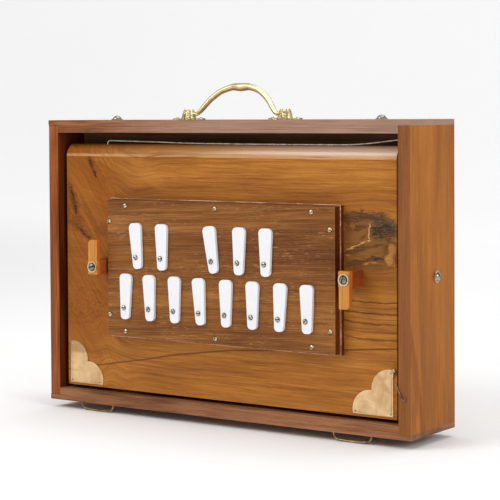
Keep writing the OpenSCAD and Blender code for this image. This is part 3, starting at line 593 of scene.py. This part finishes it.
class SHRUTI_OT_case(bpy.types.Operator):
    """Oiled case boards with softened arrises, and the plywood centre board"""
    bl_idname = "shruti.case"
    bl_label = "Case boards"

    def execute(self, context):
        woods = context.scene.shruti_woods
        edge = woods.wear / MM
        # sawn, planed and oiled sheesham: a warm golden side with a soft sheen and a darker front edge
        side = wood("oiled_sheesham_upright", "#C0782A", woods.case, "#8E520E", along="Z", streak_mm=0.7,
                    ring_mm=7, ring=0.4, rough=0.46, calm=0.9, front="#754B33")
        # the same boards from a redder plank: the left end reads as a separate piece of wood; its inner
        # face, turned to the right, is darkened as painted shade
        left = wood("oiled_sheesham_left", "#A86034", "#904C20", "#6E3816", along="Z", streak_mm=0.8,
                    ring=0.35, rough=0.46, calm=0.7, cheek="#B09888")
        # grain along the box, with a greyish painted sheen that grows from the left end to the middle and
        # covers the right
        top = wood("oiled_sheesham_top", "#A87048", "#925A36", "#6C3E20", streak_mm=0.9, ring=0.35,
                   rough=0.44, calm=0.6, painted_sheen=("#A88A78", -190, 20, 0.66))
        # grain along the box, greyer and duller than the top
        base = wood("oiled_sheesham_base", "#AA7450", "#946240", "#6E472A", streak_mm=0.9, ring=0.35,
                    rough=0.46, calm=0.7)
        # oil rubbed through on the edges: a broken pale line that outlines every board
        worn = chipped("worn_arris", "#9A6644", "#E2C096")
        dress(["case_top"], top, edge * 1.2, arris=worn)
        dress(["case_bottom"], base, edge * 1.2, arris=worn)
        # the same wear in the golden tone of the right end
        dress(["case_right"], side, edge, arris=chipped("worn_upright_arris", "#B07840", "#E0B478"))
        dress(["case_left"], left, edge)
        # stained plywood: the inside is never polished
        ply = wood("stained_plywood", "#7E5C42", "#684A30", "#4A3222", ring=0.15, rough=0.7, coat=0.0)
        dress(["centre_board"], ply, 0.3)
        # planed bare birch: pale strips that show the joints between the dark boards
        bare = wood("birch_batten", "#D8BC8A", "#C8A874", "#A98654", ring=0.2, rough=0.6, coat=0.0)
        dress(["centre_battens", "pump_battens"], bare, 0.3)
        return {"FINISHED"}


class SHRUTI_OT_boards(bpy.types.Operator):
    """Varnished front and pump boards and the two-layer key plate"""
    bl_idname = "shruti.boards"
    bl_label = "Front, plate and pump boards"

    def execute(self, context):
        woods = context.scene.shruti_woods
        edge = woods.wear / MM
        # flat-sawn teak under thin varnish: golden figure, a filled knot and growth lines to look at
        teak = wood("varnished_teak", "#BE7E34", woods.board, "#915822", ring_mm=11, ring=0.26, rough=0.4,
                    calm=0.8, marks=BOARD_MARKS)
        # varnish worn off the corners: a thin bright outline
        worn = chipped("worn_teak_arris", "#A96A27", "#D9A868")
        dress(["front_board"], teak, edge * 0.8, arris=worn)
        # the plainer side of the same teak: broad quiet rings without a knot
        back = wood("varnished_teak_back", "#BE7E34", woods.board, "#915822", ring_mm=14, ring=0.3,
                    rough=0.42)
        dress(["pump_board"], back, edge)
        # stained and rubbed hardwood: browner than the board, with short silvery flecks; its right sides
        # are darkened as painted shade
        plate = wood("stained_key_plate", "#AA7038", woods.plate, "#6C3E1C", streak_mm=0.9, ring_mm=9,
                     ring=0.35, fleck=0.75, rough=0.46, slant=0.05, cheek="#B08070")
        # stain rubbed off the upper edges: a pinkish light line between plate and tabs
        rubbed = chipped("rubbed_plate_edge", "#A06E52", "#DDB49C")
        dress(["plate_base", "key_plate"], plate, 0.5, arris=rubbed)
        return {"FINISHED"}


class SHRUTI_OT_tabs(bpy.types.Operator):
    """White acrylic finger tabs"""
    bl_idname = "shruti.tabs"
    bl_label = "Finger tabs"

    def execute(self, context):
        # sawn and buffed acrylic: the whitest and smoothest thing on the box
        dress(TABS, plastic("polished_white_acrylic", "#EFEFF1", "#E9E9EE"), 0.5)
        return {"FINISHED"}


class SHRUTI_OT_latches(bpy.types.Operator):
    """Turn latches of lacquered wood; their washers and screws are dressed with the metal fittings"""
    bl_idname = "shruti.latches"
    bl_label = "Turn latches"

    def execute(self, context):
        # clear-lacquered light wood: an orange accent with a clean highlight
        lever = wood("lacquered_orange_wood", "#DE9F52", "#D29045", "#B4742E", along="Z", streak_mm=0.8,
                     ring=0.15, rough=0.36, coat=0.15, cheek="#FFBF98")
        # end grain drinks the lacquer: the block is redder and darker than its lever
        block = wood("lacquered_end_grain", "#B4622E", "#A14E22", "#7A3415", along="Y", streak_mm=0.8,
                     ring=0.2, rough=0.38, coat=0.1)
        dress(["latch_lever_left", "latch_lever_right"], lever, 0.5)
        dress(["latch_block_left", "latch_block_right"], block, 0.4)
        return {"FINISHED"}


class SHRUTI_OT_fittings(bpy.types.Operator):
    """Brass corners, hinges and reeds, nickel screws, drawn wires"""
    bl_idname = "shruti.fittings"
    bl_label = "Metal fittings"

    def execute(self, context):
        metals = context.scene.shruti_metals
        # hand-cut sheet brass, wiped and slightly tarnished in cloudy patches
        sheet = metal("tarnished_sheet_brass", "#F0CE9E", "#CDA474", 0.34, patch_mm=16, shaded=SHADED_FROM)
        dress(["corner_plate_left", "corner_plate_right"], sheet, 0.15, 2)
        # turned on a lathe: small heads that catch one bright spot each
        screw = metal("turned_brass", "#D9CBA6", "#8E7A52", 0.3, patch_mm=1.5)
        dress(["corner_nails", "catch_nail", "handle_screws", "case_washers"], screw)
        # yellow brass, white steel and blued steel heads, cut with a slot: three kinds of screw are told
        # apart; each row's painted shade in slots and rims is set to the height of its own heads
        rows = (("slotted_brass_screw", "plate_screws", 0.0016, "#EADFB8", "#B8A474"),
                ("slotted_steel_screw", "tab_screws", 0.0013, "#D6D2CA", "#9A948A"),
                ("blued_latch_screw", "latch_screws", 0.0024, "#B0A898", "#4A443A"))
        for name, node, tall, bright, dull in rows:
            dress([node], metal(name, bright, dull, 0.32, patch_mm=1.5, recess_shade=(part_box(node)[0][1], tall)))
        # rolled strip, barely tarnished: yellow lines along the hinges
        plain = metal("rolled_hinge_brass", "#E2C47C", "#B08A48", 0.34, patch_mm=9)
        dress(["front_hinge_case", "front_hinge_board", "front_hinge_pins", "pump_hinge_case",
               "pump_hinge_board", "pump_hinge_pins", "reed_plates"], plain)
        # nickel plating gone grey: cool dots against the warm wood
        nickel = metal("nickel_plated_screw", "#BDB6AA", "#6E665C", 0.26, patch_mm=1.5)
        dress(["case_screws"], nickel)
        # pressed brass, rubbed by the turning lever: a pale ring round the screw
        dress(["latch_washers"], metal("pressed_washer", "#EFE6C4", "#BCA878", 0.3, patch_mm=2))
        # drawn steel: thin bright tongues over the brass
        steel = metal("drawn_steel_wire", "#CFC8BC", "#8C8376", 0.32, patch_mm=3)
        dress(["reed_tongues"], steel)
        # bent wire that was never plated: a brown hook, darkened further as painted shade since it lies in
        # shadow; quieter than the nails
        dress(["catch_hook"], metal("shaded_brown_wire", "#A88468", "#5E4030", 0.38, patch_mm=3))
        # thinly brassed wire, dull from the floor: the feet stay behind the case in brightness
        wire = metal("brassed_wire", "#B49A72", "#6E5638", 0.36, patch_mm=3)
        low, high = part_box("wire_feet")
        bm = bmesh.new()
        r = FOOT_WIRE
        wide = FOOT_WIDE
        top = high[2] - 0.0002
        for x0 in (low[0], high[0] - wide):
            for y in (low[1] + r, high[1] - r):
                a, b = x0 + r, x0 + wide - r
                path = through([(a, y, top), (a, y, 0.0075), (a + 0.0012, y, 0.0040),
                                (a + 0.0050, y, r + 0.0006), ((a + b) / 2, y, r),
                                (b - 0.0050, y, r + 0.0006), (b - 0.0012, y, 0.0040),
                                (b, y, 0.0075), (b, y, top)], 5)
                swept(bm, path, [r] * len(path), 10)
        finished(bm, "feet_bent_wire", wire, "case", ["wire_feet"])
        # chrome-tanned sheepskin: matt tan flaps, soft beside the hard boards
        flap = hide("soft_valve_leather", "#C9A572", "#A98452", 0.75, 0.8)
        dress(["centre_flap_left", "centre_flap_right", "pump_flap_left", "pump_flap_right"], flap)
        return {"FINISHED"}


class SHRUTI_OT_handle(bpy.types.Operator):
    """Cast brass bail that thins towards its ends, and its posts"""
    bl_idname = "shruti.handle"
    bl_label = "Handle"

    def execute(self, context):
        metals = context.scene.shruti_metals
        # sand-cast and hand-polished brass: large soft patches of light along the bar
        cast = metal("cast_polished_brass", metals.brass, "#B9A670", 0.3, patch_mm=14, ramp=(0.3, 0.6))
        left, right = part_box("handle_post_left"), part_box("handle_post_right")
        mid = (left[0][0] + right[1][0]) / 2
        half = (right[0][0] + right[1][0]) / 2 - mid
        joint = next(j for j in frame["joints"] if j["name"] == "bail_hinge")
        pivot = Vector((mid, joint["pos_m"][1], joint["pos_m"][2]))
        lean = Matrix.Rotation(math.radians(HANDLE_LEAN), 3, "X")
        # one half of the arch: distance from the middle and height above the pivots in millimetres, and
        # the radius as a share of the bail thickness; the grip is fullest in the middle
        arch = [(0.0, 26.2, 0.57), (5.5, 26.5, 0.52), (11.0, 26.1, 0.45), (22.0, 22.3, 0.41),
                (32.5, 14.4, 0.39), (39.4, 6.2, 0.36), (42.8, 2.2, 0.32), (45.4, 0.2, 0.27),
                (half / MM - 5, 0.0, 0.26)]
        arch = [(-x, z, r) for x, z, r in arch[:0:-1]] + arch
        curve = through([(x * MM, z * MM, r) for x, z, r in arch], 6)
        bm = bmesh.new()
        path = [pivot + lean @ Vector((p.x, 0, p.y)) for p in curve]
        swept(bm, path, [metals.bail * p.z for p in curve], 18)
        finished(bm, "bail_cast", cast, "bail", ["handle_bail"])
        # cast posts with dark dirt left between the ridges: the shell pattern is read from it
        cast = fluted("cast_fluted_brass", metals.brass, "#8C7A48", mid, half, pivot.y)
        dress(["handle_post_left", "handle_post_right"], cast, 0.35)
        return {"FINISHED"}


class SHRUTI_OT_spring(bpy.types.Operator):
    """Bent steel wire that pulls the front board home"""
    bl_idname = "shruti.spring"
    bl_label = "Return spring"

    def execute(self, context):
        # hard drawn wire, oiled: a thin grey line that lies on the board
        steel = metal("spring_wire", "#CFC6B8", "#8E8478", 0.32, patch_mm=4)
        low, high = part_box("return_spring")
        y, x0, x1, z = (low[1] + high[1]) / 2, low[0] + 0.0009, high[0], low[2] + 0.007
        path = through([(x0, y, z - 0.0068), (x0, y, z - 0.002), (x0 + 0.0006, y, z + 0.0016),
                        (x0 + 0.003, y, z + 0.0029), (x0 + 0.007, y, z + 0.0031),
                        (x0 + 0.06, y, z + 0.0021), (x0 + 0.115, y, z + 0.0009),
                        (x1 - 0.10, y, z + 0.0006), (x1 - 0.055, y, z + 0.0012),
                        (x1 - 0.017, y, z + 0.0050), (x1, y, z + 0.0056)], 6)
        bm = bmesh.new()
        swept(bm, path, [SPRING_WIRE] * len(path), 10)
        wire = finished(bm, "spring_wire", steel, None, ["return_spring"])
        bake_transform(wire)
        return {"FINISHED"}


class SHRUTI_OT_bellows(bpy.types.Operator):
    """Pleated leather bellows on both sides of the centre board"""
    bl_idname = "shruti.bellows"
    bl_label = "Bellows"

    def execute(self, context):
        look = context.scene.shruti_bellows
        # vegetable-tanned goatskin, dyed dark red: fine pebbled folds with a low sheen
        skin = hide("bellows_goatskin", look.leather, "#2A0B0A", 0.55, 0.7)
        upright = Matrix.Rotation(math.pi / 2, 3, "X")
        for name, node, a, b in (("bellows_front", "front_bellows", "front", "case"),
                                 ("bellows_rear", "rear_bellows", "case", "pump")):
            low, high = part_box(node)
            mid = (low[0] + high[0]) / 2
            bm = bmesh.new()
            count = look.pleats * 2
            rings = []
            for inner in (False, True):
                steps = range(count + 1) if not inner else range(count, -1, -1)
                for k in steps:
                    y = low[1] + (high[1] - low[1]) * k / count
                    dip = (0.0 if k % 2 == 0 else PLEAT_DEPTH) + (LEATHER_THICK if inner else 0.0)
                    dx, dz = (high[0] - low[0]) / 2 - dip, (high[2] - low[2]) / 2 - dip
                    made = bmesh.ops.create_grid(bm, x_segments=1, y_segments=1, size=1.0)["verts"]
                    grid = list({f for v in made for f in v.link_faces})
                    bmesh.ops.delete(bm, geom=grid, context="FACES_ONLY")
                    bmesh.ops.scale(bm, verts=made, vec=(dx, dz, 1))
                    bmesh.ops.rotate(bm, verts=made, cent=(0, 0, 0), matrix=upright)
                    bmesh.ops.translate(bm, verts=made, vec=(mid, y, (low[2] + high[2]) / 2))
                    rings.append(list({e for v in made for e in v.link_edges}))
            for one, two in zip(rings, rings[1:] + rings[:1]):
                bmesh.ops.bridge_loops(bm, edges=one + two)
            long = [e for e in bm.edges if e.calc_length() > 0.1]
            bmesh.ops.subdivide_edges(bm, edges=long, cuts=12, use_grid_fill=True)
            piece = finished(bm, name, skin, None, [node], smooth=False)
            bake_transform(piece)
        return {"FINISHED"}


class SHRUTI_PT_panel(bpy.types.Panel):
    """Everything that dresses the shruti box"""
    bl_label = "Shruti box"
    bl_idname = "SHRUTI_PT_panel"
    bl_space_type = "VIEW_3D"
    bl_region_type = "UI"
    bl_category = "Shruti box"

    def draw(self, context):
        for group in ("shruti_woods", "shruti_metals", "shruti_bellows", "shruti_stage"):
            for key in getattr(context.scene, group).bl_rna.properties.keys():
                if key not in ("rna_type", "name"):
                    self.layout.prop(getattr(context.scene, group), key)
        for step in STEPS:
            self.layout.operator(step.bl_idname)


GROUPS = {"shruti_woods": ShrutiWoods, "shruti_metals": ShrutiMetals, "shruti_bellows": ShrutiBellows,
          "shruti_stage": ShrutiStage}
STEPS = (SHRUTI_OT_stage, SHRUTI_OT_case, SHRUTI_OT_boards, SHRUTI_OT_tabs, SHRUTI_OT_latches,
         SHRUTI_OT_fittings, SHRUTI_OT_handle, SHRUTI_OT_spring, SHRUTI_OT_bellows)


def register():
    for key, group in GROUPS.items():
        bpy.utils.register_class(group)
        setattr(bpy.types.Scene, key, bpy.props.PointerProperty(type=group))
    for step in STEPS + (SHRUTI_PT_panel,):
        bpy.utils.register_class(step)


def unregister():
    for step in (SHRUTI_PT_panel,) + STEPS[::-1]:
        bpy.utils.unregister_class(step)
    for key, group in GROUPS.items():
        delattr(bpy.types.Scene, key)
        bpy.utils.unregister_class(group)


def main():
    register()
    for step in STEPS:
        area, word = step.bl_idname.split(".")
        getattr(getattr(bpy.ops, area), word)()


if __name__ == "__main__":
    main()
